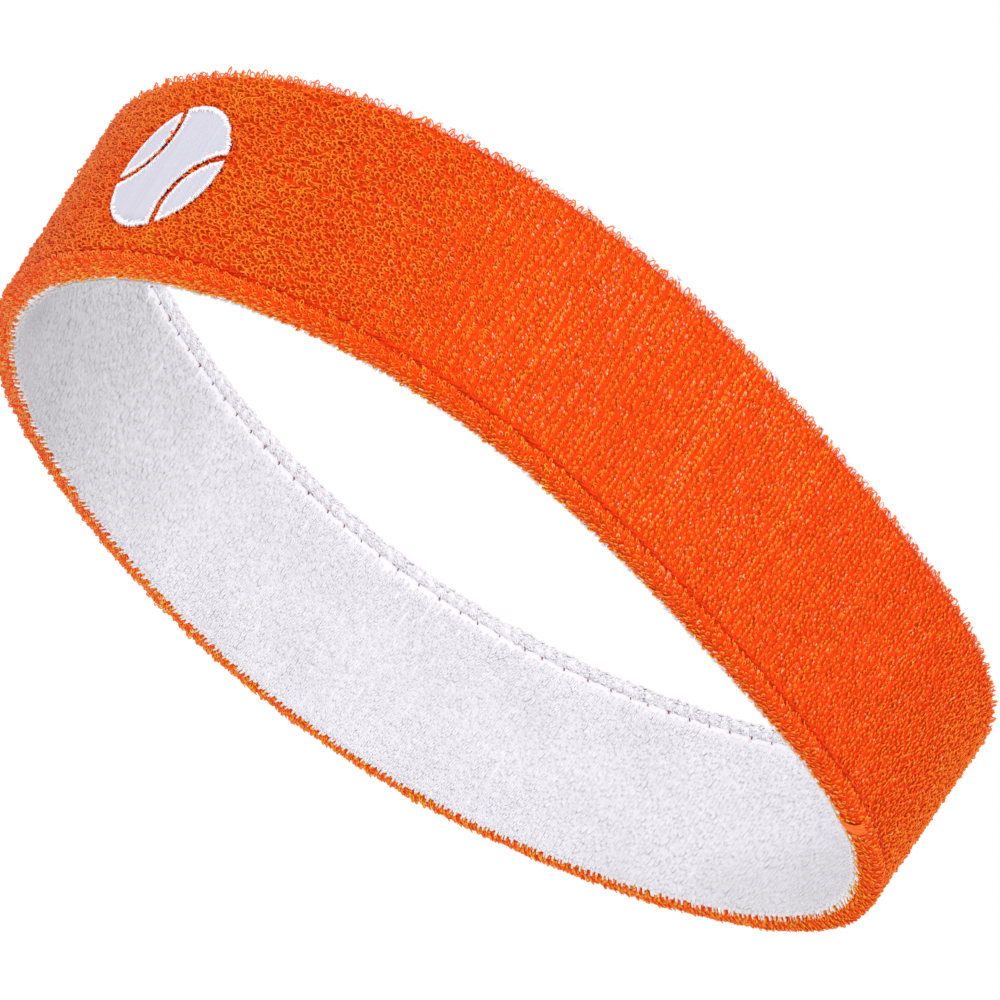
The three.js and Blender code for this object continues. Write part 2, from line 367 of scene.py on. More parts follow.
def cloth(name, colour, sheen, roughness=0.8, mottle=0.12, relief=None, shine=0.3, tinted=True):
    """A fibre material: the mesh's tint times a dye colour, mottled, with uneven roughness.

    sheen is its weight and its tint, relief the scale of a fibre bump, and shine the strength of
    the highlight, which takes the sheen's tint. tinted is False where the mesh has no tints."""
    material = bpy.data.materials.new(name)
    material.use_nodes = True
    nodes = material.node_tree.nodes
    links = material.node_tree.links
    shader = nodes["Principled BSDF"]
    coordinates = nodes.new("ShaderNodeTexCoord")
    dye = nodes.new("ShaderNodeVectorMath")
    dye.operation = "MULTIPLY"
    dye.inputs[0].default_value = PURE
    dye.inputs[1].default_value = colour
    if tinted:
        tint = nodes.new("ShaderNodeAttribute")
        tint.attribute_name = "tint"
        links.new(tint.outputs["Color"], dye.inputs[0])
    fibre = add_node(nodes, "ShaderNodeTexNoise", {"Scale": FIBRE_SCALE, "Detail": FIBRE_DETAIL})
    links.new(coordinates.outputs["Object"], fibre.inputs["Vector"])
    shade = add_node(nodes, "ShaderNodeMapRange", {"To Min": 1 - mottle, "To Max": 1 + mottle})
    links.new(fibre.outputs["Fac"], shade.inputs["Value"])
    dyed = nodes.new("ShaderNodeVectorMath")
    dyed.operation = "SCALE"
    links.new(dye.outputs["Vector"], dyed.inputs[0])
    links.new(shade.outputs["Result"], dyed.inputs["Scale"])
    links.new(dyed.outputs["Vector"], shader.inputs["Base Color"])
    rough = add_node(nodes, "ShaderNodeMapRange", {"To Min": roughness - ROUGHNESS_SPREAD,
                                                   "To Max": roughness + ROUGHNESS_SPREAD})
    links.new(fibre.outputs["Fac"], rough.inputs["Value"])
    links.new(rough.outputs["Result"], shader.inputs["Roughness"])
    shader.inputs["Specular IOR Level"].default_value = shine
    shader.inputs["Specular Tint"].default_value = (*sheen[1], 1)
    shader.inputs["Sheen Weight"].default_value = sheen[0]
    shader.inputs["Sheen Roughness"].default_value = SHEEN_ROUGHNESS
    shader.inputs["Sheen Tint"].default_value = (*sheen[1], 1)
    if relief:
        weave = add_node(nodes, "ShaderNodeTexNoise", {"Scale": relief})
        links.new(coordinates.outputs["Object"], weave.inputs["Vector"])
        bump = add_node(nodes, "ShaderNodeBump", {"Strength": BUMP_STRENGTH,
                                                  "Distance": BUMP_DISTANCE})
        links.new(weave.outputs["Fac"], bump.inputs["Height"])
        links.new(bump.outputs["Normal"], shader.inputs["Normal"])
    material.diffuse_color = (*colour, 1)
    return material


orange_terry = cloth("orange_terry", (0.95, 0.176, 0.0100), (0.20, ORANGE_SHEEN), 0.55, 0.12,
                     shine=0.45)
# the ground knit is deeper and redder than the loops, partly as painted shade in the gaps between
# them
orange_ground = cloth("orange_ground_knit", (0.78, 0.048, 0.002), (0.05, ORANGE_SHEEN), 0.8, 1.0,
                      relief=KNIT_RELIEF)
white_terry = cloth("white_terry", (0.82, 0.80, 0.84), (0.25, PURE), 0.85, 0.04)
white_ground = cloth("white_ground_knit", (0.83, 0.81, 0.85), (0.2, PURE), 0.85, 0.05,
                     relief=KNIT_RELIEF)
orange_thread = cloth("orange_thread", (0.80, 0.040, 0.003), (0.1, ORANGE_SHEEN), 0.6, 0.1)
red_thread = cloth("red_thread", (0.22, 0.010, 0.010), (0.1, PURE), 0.6, 0.1)
white_thread = cloth("white_thread", (0.86, 0.85, 0.88), (0.2, PURE), 0.6, 0.05)
satin_fill = cloth("satin_fill", (0.61, 0.60, 0.68), (0.15, PURE), 0.45, 0.04)
satin_edge = cloth("satin_edge", (0.84, 0.84, 0.88), (0.2, PURE), 0.4, 0.04)
elastic_cover = cloth("elastic_cover", (0.87, 0.85, 0.79), (0.1, PURE), 0.6, 0.05, relief=2400.0,
                      tinted=False)
backing_felt = cloth("backing_felt", (0.93, 0.93, 0.93), (0.1, PURE), 0.9, 0.04, relief=1800.0,
                     tinted=False)


# ==== Terry loops ====

LOOP_SPAN = math.radians(140)
# tint along each loop: painted shade at its foot and painted highlight at its tip, partly a real
# change of dye
SHADED_FOOT_TINT = 0.55
LIT_TIP_TINT = 1.15
YARN_AT_FOOT = 0.82
YARN_SWELL = 0.26
PLACE_JITTER_ROUND = 0.09  # in column pitches
PLACE_JITTER_ALONG = 0.11  # in row pitches
FIRST_ROW = 0.25  # in row pitches from the start of the rows


def add_loops(soup, section, angle, along, half_width, reach, turn, lean, yarn, tints, lift=0.0,
              sink=0.18, points=LOOP_POINTS, tip_contrast=1.0):
    """Adds one hairpin of yarn at each place. turn is the direction that it points in the surface,
    from round the band towards up the section, and lean is how far it stands off the surface."""
    point, across, up, out = section.surface(angle, along, lift)
    cosine, sine = np.cos(turn)[:, None], np.sin(turn)[:, None]
    ahead = cosine * across + sine * up
    beside = cosine * up - sine * across
    rise = np.cos(lean)[:, None] * ahead + np.sin(lean)[:, None] * out
    t = np.linspace(-LOOP_SPAN, LOOP_SPAN, points)
    wide = half_width[:, None] * np.sin(t)[None]
    far = reach[:, None] * (np.cos(t) - math.cos(LOOP_SPAN))[None] / (1 - math.cos(LOOP_SPAN))
    paths = point[:, None] + wide[..., None] * beside[:, None] + far[..., None] * rise[:, None]
    paths = paths - sink * out[:, None]
    tipward = np.cos(t / LOOP_SPAN * math.pi / 2)
    radii = yarn[:, None] * (YARN_AT_FOOT + YARN_SWELL * tipward)[None]
    # painted shade towards the foot and painted highlight towards the tip, partly dye; the contrast
    # sets how strong they are
    tip = SHADED_FOOT_TINT + (LIT_TIP_TINT - SHADED_FOOT_TINT) * tipward
    normal = np.cross(beside, rise)
    shades = np.repeat(tints[:, None, :], points, axis=1)
    shades[..., 1:] *= tip[None, :, None] ** tip_contrast
    add_tubes(soup, paths, radii, normal, shades)


def loop_grid(section, turn_from, turn_to, pitch_round, pitch_along, depth, seed, widen=None,
              stagger=None):
    """Places for loops over the part of a section that faces between two turns, in columns up the
    section. Every second column is half a row higher where the stagger is 1."""
    first, last = section.span(turn_from, turn_to)
    rows = max(2, int(round((last - first) / pitch_along)))
    source = np.random.default_rng(seed)
    _, girth = angles_by_length(depth, BAND_HEIGHT / 2, 1, widen)
    columns = int(round(girth / pitch_round / 2)) * 2
    column_angle, _ = angles_by_length(depth, BAND_HEIGHT / 2, columns, widen)
    shift = 0.5 * (np.arange(columns) % 2)
    if stagger is not None:
        shift = shift * stagger(column_angle)
    row_share = (np.arange(rows)[:, None] + FIRST_ROW + shift[None]) / rows
    angle = np.tile(column_angle, rows)
    along = (first + (last - first) * row_share).ravel()
    angle_jitter = PLACE_JITTER_ROUND * pitch_round / BAND_RADIUS
    angle = angle + source.normal(0, angle_jitter, rows * columns)
    along = along + source.normal(0, PLACE_JITTER_ALONG * pitch_along, rows * columns)
    return angle, along, np.tile(np.arange(columns), rows), source


PULL_STARTS, PULL_FULL = math.radians(16), math.radians(44)
PULL_EASES, PULL_EASED = math.radians(100), math.radians(150)
PULL_EASING = 0.5


def stretch_at(angle):
    """How far the knit is pulled open: not at the emblem, most over the temples and half as much
    at the back."""
    away = np.abs(signed(angle - EMBLEM_ANGLE))
    pulled = smooth(PULL_STARTS, PULL_FULL, away)
    eased = smooth(PULL_EASES, PULL_EASED, away)
    return pulled * (1 - PULL_EASING * eased)


# ---- Emblem outline ----
BALL_ARC_POINTS = 60
SIDE_ARC_POINTS = 40
SEAM_ARC_POINTS = 50
EMBLEM_MARGIN = 6.0  # how far from the ball the distance to it still matters
FAR_AWAY = 99.0  # the distance given beyond that


def arc_points(centre, radius, start, stop, count):
    """Points of an arc between two turns in degrees, about a centre on the level axis."""
    turn = np.linspace(math.radians(start), math.radians(stop), count)
    return np.stack([centre + radius * np.cos(turn), radius * np.sin(turn)], axis=-1)


def chord_angles(seam_radius):
    """Half angles at the ball's centre and at the seam circle's centre where the two cross."""
    across = (BALL_SEAM_OFFSET ** 2 + EMBLEM_RADIUS ** 2 - seam_radius ** 2) / (2 * BALL_SEAM_OFFSET)
    half = math.sqrt(EMBLEM_RADIUS ** 2 - across ** 2)
    at_ball = math.degrees(math.atan2(half, across))
    at_seam = math.degrees(math.asin(half / seam_radius))
    return at_ball, at_seam


def ball_panels():
    """Outlines of the two side panels and the centre panel, about the emblem's centre."""
    tilt = np.array([[math.cos(EMBLEM_TILT), math.sin(EMBLEM_TILT)],
                     [-math.sin(EMBLEM_TILT), math.cos(EMBLEM_TILT)]])
    at_ball, at_seam = chord_angles(BALL_SEAM_INNER)
    right = np.concatenate([
        arc_points(0, EMBLEM_RADIUS, -at_ball, at_ball, SIDE_ARC_POINTS),
        arc_points(BALL_SEAM_OFFSET, BALL_SEAM_INNER, 180 - at_seam, 180 + at_seam,
                   SIDE_ARC_POINTS)[1:-1],
    ])
    left = -right
    at_ball, at_seam = chord_angles(BALL_SEAM_OUTER)
    centre = np.concatenate([
        arc_points(0, EMBLEM_RADIUS, at_ball, 180 - at_ball, BALL_ARC_POINTS),
        arc_points(-BALL_SEAM_OFFSET, BALL_SEAM_OUTER, at_seam, -at_seam, SEAM_ARC_POINTS)[1:-1],
        arc_points(0, EMBLEM_RADIUS, 180 + at_ball, 360 - at_ball, BALL_ARC_POINTS),
        arc_points(BALL_SEAM_OFFSET, BALL_SEAM_OUTER, 180 + at_seam, 180 - at_seam,
                   SEAM_ARC_POINTS)[1:-1],
    ])
    return {"centre": centre @ tilt, "left": left @ tilt, "right": right @ tilt}


PANELS = ball_panels()


def outline_distance(points, outline):
    """Distance of points to a closed outline, negative inside it."""
    step = np.roll(outline, -1, axis=0) - outline
    away = points[:, None, :] - outline[None]
    share = np.clip((away * step[None]).sum(-1) / (step ** 2).sum(-1)[None], 0, 1)
    nearest = np.linalg.norm(away - share[..., None] * step[None], axis=-1).min(axis=1)
    x, y = points[:, 0:1], points[:, 1:2]
    end = outline + step
    crosses = (outline[None, :, 1] > y) != (end[None, :, 1] > y)
    rise = np.where(step[:, 1] == 0, TINY, step[:, 1])
    at = outline[None, :, 0] + (y - outline[None, :, 1]) / rise[None] * step[None, :, 0]
    inside = (crosses & (x < at)).sum(axis=1) % 2 == 1
    return np.where(inside, -nearest, nearest)


def emblem_distance(angle, height):
    """Distance of places on the band to the nearest emblem panel."""
    x = signed(angle - EMBLEM_ANGLE) * EMBLEM_ARC_RADIUS
    y = height - EMBLEM_HEIGHT
    distance = np.full(len(x), FAR_AWAY)
    near = np.hypot(x, y) < EMBLEM_RADIUS + EMBLEM_MARGIN
    points = np.stack([x[near], y[near]], axis=-1)
    found = np.full(len(points), FAR_AWAY)
    for outline in PANELS.values():
        found = np.minimum(found, outline_distance(points, outline))
    distance[near] = found
    return distance


# ---- Ground knit and loops of the outer layer ----
LOOP_STAND = 1.0
GROUND_TUCK = 1.6  # how far each layer's ground runs on behind the welt at its edge
outer_section = Section(depth_low=OUTER_BACK + 0.3, depth_high=OUTER_FACE - LOOP_STAND,
                        low=OUTER_LOW - GROUND_TUCK, high=OUTER_HIGH - 1.1, corner=0.6)
inner_section = Section(depth_low=0.75, depth_high=2.3, low=INNER_LOW + 0.2,
                        high=INNER_HIGH + GROUND_TUCK, corner=0.7)
lower_roll = Section(depth_low=1.9, depth_high=6.4, low=0.5, high=WELT_HEIGHT + 0.1, corner=1.4)
upper_roll = Section(depth_low=0.6, depth_high=3.5, low=BAND_HEIGHT - WELT_HEIGHT - 0.1,
                     high=BAND_HEIGHT - 0.3, corner=1.3)


def in_sector(angle, sector, sectors):
    """Whether an angle is in one of the equal sectors of the band."""
    turned = (angle / (2 * math.pi)) % 1.0
    return (turned * sectors).astype(int) % sectors == sector


def loop_pieces(name, sectors, material, section, angle, along, *shape, lift=None, **options):
    """One piece of loops for each sector of the band, so that no piece is too heavy. shape and lift
    have a value for each loop."""
    if lift is None:
        lift = np.zeros(len(angle))
    pieces = []
    for sector in range(sectors):
        here = in_sector(angle, sector, sectors)
        if not here.any():
            continue
        soup = Soup()
        add_loops(soup, section, angle[here], along[here], *[part[here] for part in shape],
                  lift=lift[here], **options)
        pieces.append(soup.piece(f"{name}_{sector + 1}", material))
    return pieces


# painted shade, also bluer, on one side of the emblem
SHADED_SIDE_STARTS, SHADED_SIDE_FULL = math.radians(2), math.radians(-24)
SHADED_SIDE_EASES, SHADED_SIDE_ENDS = math.radians(-50), math.radians(-120)
PALE_SHARE = 0.05
TINT_LEAST, TINT_MOST = 0.3, 2.4


def orange_tints(angle, height, source, count):
    """Tint of each loop: painted shade, also bluer, on one side of the emblem, with lighter slubs
    and a few pale loops where the knit is pulled open."""
    side = signed(angle - EMBLEM_ANGLE)
    shade = 1.0 + 0.08 * ripple(angle, height, seed=5) + source.normal(0, 0.16, count)
    # painted shade, also bluer, on one side of the emblem
    side_shade = smooth(SHADED_SIDE_STARTS, SHADED_SIDE_FULL, side)
    side_shade = side_shade * smooth(SHADED_SIDE_ENDS, SHADED_SIDE_EASES, side)
    slub = smooth(0.7, 1.6, ripple(angle, height * 0.1, seed=11, fastest=60))
    pale = (source.random(count) < PALE_SHARE) * stretch_at(angle)
    green = shade * (1 + 0.30 * slub) * (1 - 0.16 * side_shade) * (1 + 0.75 * pale)
    tints = np.ones((count, 3))
    tints[:, 0] = (0.97 + 0.05 * (shade - 1)) * (1 - 0.08 * side_shade)
    tints[:, 1] = np.clip(green, TINT_LEAST, TINT_MOST)
    tints[:, 2] = tints[:, 1] * (1 + 5 * pale + 2.5 * side_shade)
    return tints


COLUMN_PITCH = 1.0
OUTER_SEED = 21
EMBLEM_CLEARANCE = 0.15
LOOSE_KEPT = 0.90  # loose loops are wider, so there are fewer of them
# the halo also paints shade on the loops round the emblem
HALO_STARTS, HALO_FULL = 2.0, 0.3  # the loops lie flatter as close as this to the emblem
LOOSE_TURN, LOOSE_CURL = math.radians(205), 0.8
PULLED_TURN, PULLED_CURL = math.radians(146), 0.26
TEMPLE_TURN = math.radians(16)  # how much more the pulled loops slant past the temples
TEMPLE_STARTS, TEMPLE_FULL = math.radians(60), math.radians(100)
# the rib tint is painted light and shade, lighter and darker by turns on the pulled ribs
RIB_TURN, RIB_PAINTED_SHADE = 0.35, 0.12
LOOSE_LEAN, LEAN_DROP = 52, 20  # degrees
LOOSE_WIDTH, LOOSE_REACH, LOOSE_YARN = 0.50, 1.25, 0.145
RIM_STARTS, RIM_FULL = 2.4, 1.3  # below the top of the layer
RIM_TURN, RIM_CURL, RIM_LEAN = math.radians(95), 0.6, math.radians(50)
RIM_WIDTH, RIM_REACH = 0.40, 1.6
TIGHT_FROM = 0.6  # loops pulled further than this are the pulled pieces


def column_width(angle):
    return 1.0 + 0.16 * stretch_at(angle)


def column_stagger(angle):
    return 1 - 0.8 * stretch_at(angle)


def outer_loops():
    """Orange loops: loose and curled at the emblem, in pulled ribs over the temples, and standing
    up as open curls along the top edge."""
    angle, along, column, source = loop_grid(
        outer_section, turn_from=-20, turn_to=100, pitch_round=COLUMN_PITCH, pitch_along=0.70,
        depth=OUTER_FACE, seed=OUTER_SEED, widen=column_width, stagger=column_stagger)
    height = np.interp(along, outer_section.along, outer_section.height)
    distance = emblem_distance(angle, height)
    keep = (distance > EMBLEM_CLEARANCE) & (height > OUTER_LOW - 0.5)
    pulled = stretch_at(angle)
    kept_share = LOOSE_KEPT + 0.10 * smooth(0.2, 0.5, pulled)
    keep = keep & (source.random(len(angle)) < kept_share)
    angle, along, height, distance = angle[keep], along[keep], height[keep], distance[keep]
    pulled, column = pulled[keep], column[keep]
    count = len(angle)
    # pulled columns lean left and right by turns, which shows as fine ribs
    rib = np.where(column % 2 == 0, 1.0, -1.0) * pulled
    column_shade = source.normal(0, 0.09, column.max() + 1)[column] * pulled
    halo = smooth(HALO_STARTS, HALO_FULL, distance)
    curl = source.normal(0, 1, count)
    # loose loops open every way; pulled ones lie along the band and slant down
    level = smooth(TEMPLE_STARTS, TEMPLE_FULL, np.abs(signed(angle)))
    slant = PULLED_TURN + TEMPLE_TURN * level
    turn = (LOOSE_TURN + LOOSE_CURL * curl) * (1 - pulled) + (slant + PULLED_CURL * curl) * pulled
    turn = turn + RIB_TURN * rib
    lean = np.radians(LOOSE_LEAN - LEAN_DROP * pulled - LEAN_DROP * halo)
    lean = lean + source.normal(0, 0.20, count)
    size = 1 + source.normal(0, 0.12, count)
    half_width = (LOOSE_WIDTH - 0.30 * pulled) * size * (1 - 0.3 * halo)
    reach = (LOOSE_REACH - 0.20 * pulled) * size * (1 - 0.35 * halo)
    # the last rows stand up past the top edge as open curls
    rim = smooth(OUTER_HIGH - RIM_STARTS, OUTER_HIGH - RIM_FULL, height)
    turn = turn * (1 - rim) + (RIM_TURN + RIM_CURL * curl) * rim
    lean = lean * (1 - rim) + RIM_LEAN * rim
    half_width = half_width * (1 - rim) + RIM_WIDTH * size * rim
    reach = reach * (1 - rim) + RIM_REACH * size * rim
    yarn = (LOOSE_YARN + 0.010 * pulled - 0.03 * rim) * (1 + source.normal(0, 0.10, count))
    tints = orange_tints(angle, height, source, count)
    # painted shade round the emblem (halo) and painted light and shade by turns on the ribs (rib);
    # pulled loops are a little darker and each column has a random tone
    darker = (1 - 0.2 * halo) * (1 - 0.07 * pulled) * (1 + RIB_PAINTED_SHADE * rib + column_shade)
    tints[:, 1:] *= darker[:, None]
    shape = (angle, along, half_width, reach, turn, lean, yarn, tints)
    tight = pulled > TIGHT_FROM
    return (loop_pieces("outer_loose_loops", 12, orange_terry, outer_section,
                        *[part[~tight] for part in shape], lift=0.3 * halo[~tight])
            + loop_pieces("outer_pulled_loops", 9, orange_terry, outer_section,
                          *[part[tight] for part in shape], points=COARSE_LOOP_POINTS,
                          tip_contrast=0.8))


GROUND_RIBS = 530
GROUND_RIB_HEIGHT = 0.05


def plain_lift(angle, along):
    return GROUND_RIB_HEIGHT * np.sin(angle * GROUND_RIBS)


def even_tint(angle, along):
    return np.ones(angle.shape + (3,))


def ground_piece(name, section, material, steps=GROUND_STEPS, lift=plain_lift, tint=even_tint):
    """A closed ring of knit on a section."""
    soup = Soup()
    section_steps = int(section.length / SECTION_STEP)
    add_band(soup, section, steps, section_steps, lift, tint)
    return soup.piece(name, material)


outer_ground = ground_piece("outer_ground_knit", outer_section, orange_ground)
outer_loop_pieces = outer_loops()


# ---- Pale plating yarn that shows between the columns of pulled loops ----
FLECK_WARM = np.array([[1.0, 0.40, 0.14]])
FLECK_PALE = np.array([[1.0, 0.80, 0.56]])
FLECK_WIDTH, FLECK_REACH, FLECK_YARN = 0.07, 0.55, 0.13
FLECK_TURN, FLECK_LEAN = math.radians(140), 34.0  # the lean in degrees
OPEN_CHANCE, CLOSED_CHANCE = 0.30, 0.03


def plating_flecks():
    """Short pale loops, mostly in the columns that are more open than the others."""
    angle, along, column, source = loop_grid(
        outer_section, turn_from=-20, turn_to=60, pitch_round=COLUMN_PITCH, pitch_along=0.62,
        depth=OUTER_FACE, seed=OUTER_SEED, widen=column_width)
    height = np.interp(along, outer_section.along, outer_section.height)
    angle = angle + 0.5 * column_width(angle) / BAND_RADIUS
    away = np.abs(signed(angle))
    pulled = stretch_at(angle) * (1 - 0.85 * smooth(math.radians(62), math.radians(84), away))
    open_column = np.random.default_rng(23).random(column.max() + 1)[column] > 0.55
    chance = pulled * np.where(open_column, OPEN_CHANCE, CLOSED_CHANCE)
    chance = chance * smooth(-1.0, 0.5, ripple(angle, height, seed=24, fastest=40))
    keep = (source.random(len(angle)) < chance) & (height > OUTER_LOW + 0.5)
    keep = keep & (emblem_distance(angle, height) > 3)
    angle, along = angle[keep], along[keep]
    count = len(angle)
    paler = source.random(count)[:, None]
    tints = FLECK_WARM * (1 - paler) + FLECK_PALE * paler
    soup = Soup()
    add_loops(soup, outer_section, angle, along, np.full(count, FLECK_WIDTH),
              np.full(count, FLECK_REACH), FLECK_TURN + source.normal(0, 0.2, count),
              np.radians(np.full(count, FLECK_LEAN)), np.full(count, FLECK_YARN), tints,
              points=FLECK_POINTS, tip_contrast=0.0)
    return soup.piece("outer_plating_flecks", white_thread)


flecks = plating_flecks()


# ---- Inner layer ----
INNER_WIDTH, INNER_REACH, INNER_YARN = 0.27, 1.9, 0.27
# painted shade on the inside of the band towards the front
FRONT_PAINTED_SHADE = 0.20


def half_stagger(angle):
    return 0.5 + 0 * angle


def inner_loops():
    """White loops that lie down, with painted shade towards the front, and short at the lower edge.
    """
    angle, along, _, source = loop_grid(
        inner_section, turn_from=80, turn_to=260, pitch_round=1.16, pitch_along=1.02, depth=0.4,
        seed=31, stagger=half_stagger)
    height = np.interp(along, inner_section.along, inner_section.height)
    keep = height < INNER_HIGH + 0.2
    angle, along, height = angle[keep], along[keep], height[keep]
    count = len(angle)
    turn = math.radians(84) + source.normal(0, 0.10, count) + 0.10 * ripple(angle, height, seed=33)
    lean = np.radians(9) + source.normal(0, 0.05, count)
    size = 1 + source.normal(0, 0.08, count)
    side = signed(angle)
    front = smooth(math.radians(-100), math.radians(-55), side) * smooth(0.5, -0.1, side)
    shade = 1 + 0.02 * ripple(angle, height, seed=35) + source.normal(0, 0.018, count)
    # painted shade: the loops' tint darkens towards the front
    shade = shade - FRONT_PAINTED_SHADE * front
    tints = np.clip(np.repeat(shade[:, None], 3, axis=1), 0.7, 1.15)
    short = 0.45 + 0.55 * smooth(INNER_LOW + 0.5, INNER_LOW + 4, height)
    return loop_pieces("inner_loops", 6, white_terry, inner_section, angle, along,
                       INNER_WIDTH * size, INNER_REACH * size * short, turn, lean,
                       INNER_YARN * size, tints, sink=0.02, points=COARSE_LOOP_POINTS,
                       tip_contrast=0.0)


inner_ground = ground_piece("inner_ground_knit", inner_section, white_ground)
inner_loop_pieces = inner_loops()


# ---- Welts ----
BULGE_PITCH, BULGE_HEIGHT = 2.8, 0.42
ROLL_TURN = math.radians(150)
# painted light on the orange welt where it turns under and in
UNDERSIDE_PAINTED_LIGHT, UNDERSIDE_DROP = 1.9, 0.9
ORANGE_ROLL = {"pitches": (0.95, 0.82), "curl": 0.45, "lean": 28, "lean_spread": 0.12,
               "half_width": 0.26, "reach": 0.85, "yarn": 0.135,
               "points": LOOP_POINTS, "tip_contrast": 0.7}
WHITE_ROLL = {"pitches": (1.08, 0.92), "curl": 0.4, "lean": 11, "lean_spread": 0.05,
              "half_width": 0.27, "reach": 1.2, "yarn": 0.25,
              "points": COARSE_LOOP_POINTS, "tip_contrast": 0.0}


def roll_bulge(angle, along):
    """The welt is drawn in by each linking stitch, which leaves slanted bulges like a rope's."""
    phase = angle * BAND_RADIUS / BULGE_PITCH * math.pi + along * 0.5
    uneven = 1 + 0.35 * ripple(angle, along * 0, seed=41, fastest=60)
    return BULGE_HEIGHT * np.abs(np.sin(phase)) * uneven - BULGE_HEIGHT / 2


def underside_painted_light(along, section):
    """Painted light: how much lighter the orange welt's tint is where it turns under and in."""
    facing = np.interp(along, section.along, section.turn)
    return UNDERSIDE_PAINTED_LIGHT - UNDERSIDE_DROP * smooth(-130, -60, facing)


def welt(name, section, turn_from, turn_to, materials, seed):
    """The rolled edge as a ground ring and its loops: short and open where it is orange, and lying
    down where it is white."""
    ground_material, loop_material = materials
    orange = loop_material is orange_terry
    style = ORANGE_ROLL if orange else WHITE_ROLL

    def roll_tint(angle, along):
        # painted light where the orange welt turns under and in
        lighter = underside_painted_light(along, section) if orange else 1 + 0 * along
        return np.stack([1 + 0 * along, lighter, lighter], axis=-1)

    ground = ground_piece(f"{name}_roll", section, ground_material, steps=ROLL_STEPS,
                          lift=roll_bulge, tint=roll_tint)
    angle, along, _, source = loop_grid(section, turn_from, turn_to, *style["pitches"], depth=4.0,
                                        seed=seed)
    count = len(angle)
    height = np.interp(along, section.along, section.height)
    lift = roll_bulge(angle, along)
    size = 1 + source.normal(0, 0.1, count)
    turn = ROLL_TURN + source.normal(0, style["curl"], count)
    lean = math.radians(style["lean"]) + source.normal(0, style["lean_spread"], count)
    if orange:
        tints = orange_tints(angle, height, source, count)
        # painted light on the rope's bulges and painted shade between them, together with the
        # underside's painted light
        tints[:, 1:] *= ((1.0 + 1.2 * lift) * underside_painted_light(along, section))[:, None]
    else:
        tints = np.ones((count, 3)) * (1 + source.normal(0, 0.02, count))[:, None]
    loops = loop_pieces(f"{name}_loops", 3, loop_material, section, angle, along,
                        style["half_width"] * size, style["reach"] * size, turn, lean,
                        style["yarn"] * size, tints, lift=lift, points=style["points"],
                        tip_contrast=style["tip_contrast"])
    return ground, loops


lower_ground, lower_loop_pieces = welt("lower_welt", lower_roll, -178, 62,
                                       (orange_ground, orange_terry), 51)
upper_ground, upper_loop_pieces = welt("upper_welt", upper_roll, 50, 242,
                                       (white_ground, white_terry), 52)


# ==== Threads ====

STITCH_POINTS = 6
LONG_SLANT = 1.0  # a stitch that slants further than this runs mostly along the band
STITCH_AT_END, STITCH_SWELL = 0.75, 0.35


def stitch_row(name, count, start_at, end_at, radius, bow, material, slant, seed, jitter=0.0):
    """A row of equal stitches round the band. start_at, end_at and the bow between them are (depth,
    height), and slant moves the end along the band."""
    source = np.random.default_rng(seed)
    angle, _ = angles_by_length(*start_at, count)
    angle = angle + source.normal(0, 1, count) * jitter / BAND_RADIUS
    t = np.linspace(0, 1, STITCH_POINTS)
    wobble = 1 + source.normal(0, 0.12, count)
    depth = start_at[0] + (end_at[0] - start_at[0]) * t[None] + np.zeros((count, 1))
    height = start_at[1] + (end_at[1] - start_at[1]) * t[None] + np.zeros((count, 1))
    arch = np.sin(t * math.pi)[None] * wobble[:, None]
    depth = depth + bow[0] * arch
    height = height + bow[1] * arch
    angles = angle[:, None] + slant * wobble[:, None] * t[None] / BAND_RADIUS
    paths = place(angles, depth, height)
    middle = angles[:, 0]
    across = np.stack([np.cos(middle), np.sin(middle), np.zeros(count)], axis=-1)
    if abs(slant) > LONG_SLANT:
        across = np.stack([np.sin(middle), -np.cos(middle), np.zeros(count)], axis=-1)
    thickness = radius * (STITCH_AT_END + STITCH_SWELL * np.sin(t * math.pi))[None]
    thickness = thickness * wobble[:, None]
    shade = 1 + source.normal(0, 0.05, count)
    tints = np.clip(np.ones((count, STITCH_POINTS, 3)) * shade[:, None, None], 0, 1.2)
    return thread_piece(name, paths, thickness, across, tints, material)


crease_low = (WELT_HEIGHT + OUTER_LOW) / 2
crease_high = (BAND_HEIGHT - WELT_HEIGHT + INNER_HIGH) / 2
lower_link = stitch_row(
    "lower_linking_stitches", 300, (5.9, crease_low - 0.3), (5.9, crease_low + 0.1), radius=0.2,
    bow=(0.15, 0.0), material=orange_thread, slant=1.9, seed=61)
upper_link = stitch_row(
    "upper_linking_stitches", 110, (0.75, crease_high - 0.1), (0.75, crease_high + 0.5),
    radius=0.11, bow=(-0.35, 0.0), material=red_thread, slant=0.35, jitter=0.4, seed=62)
lower_edge = stitch_row(
    "lower_edge_stitches", 420, (0.9, 3.0), (2.7, 0.6), radius=0.28, bow=(-0.3, -0.3),
    material=white_thread, slant=0.5, jitter=0.4, seed=63)
upper_edge = stitch_row(
    "upper_edge_stitches", 290, (4.9, OUTER_HIGH - 1.3), (3.5, OUTER_HIGH - 0.4), radius=0.15,
    bow=(0.1, 0.3), material=orange_thread, slant=0.7, jitter=0.2, seed=64)


TACK_THREADS, TACK_POINTS = 10, 8
TACK_PITCH, TACK_YARN = 0.31, 0.14
TACK_SKEW = 0.004  # angle by which each thread runs askew
TACK_TINT = np.array([1.0, 0.95, 1.8])


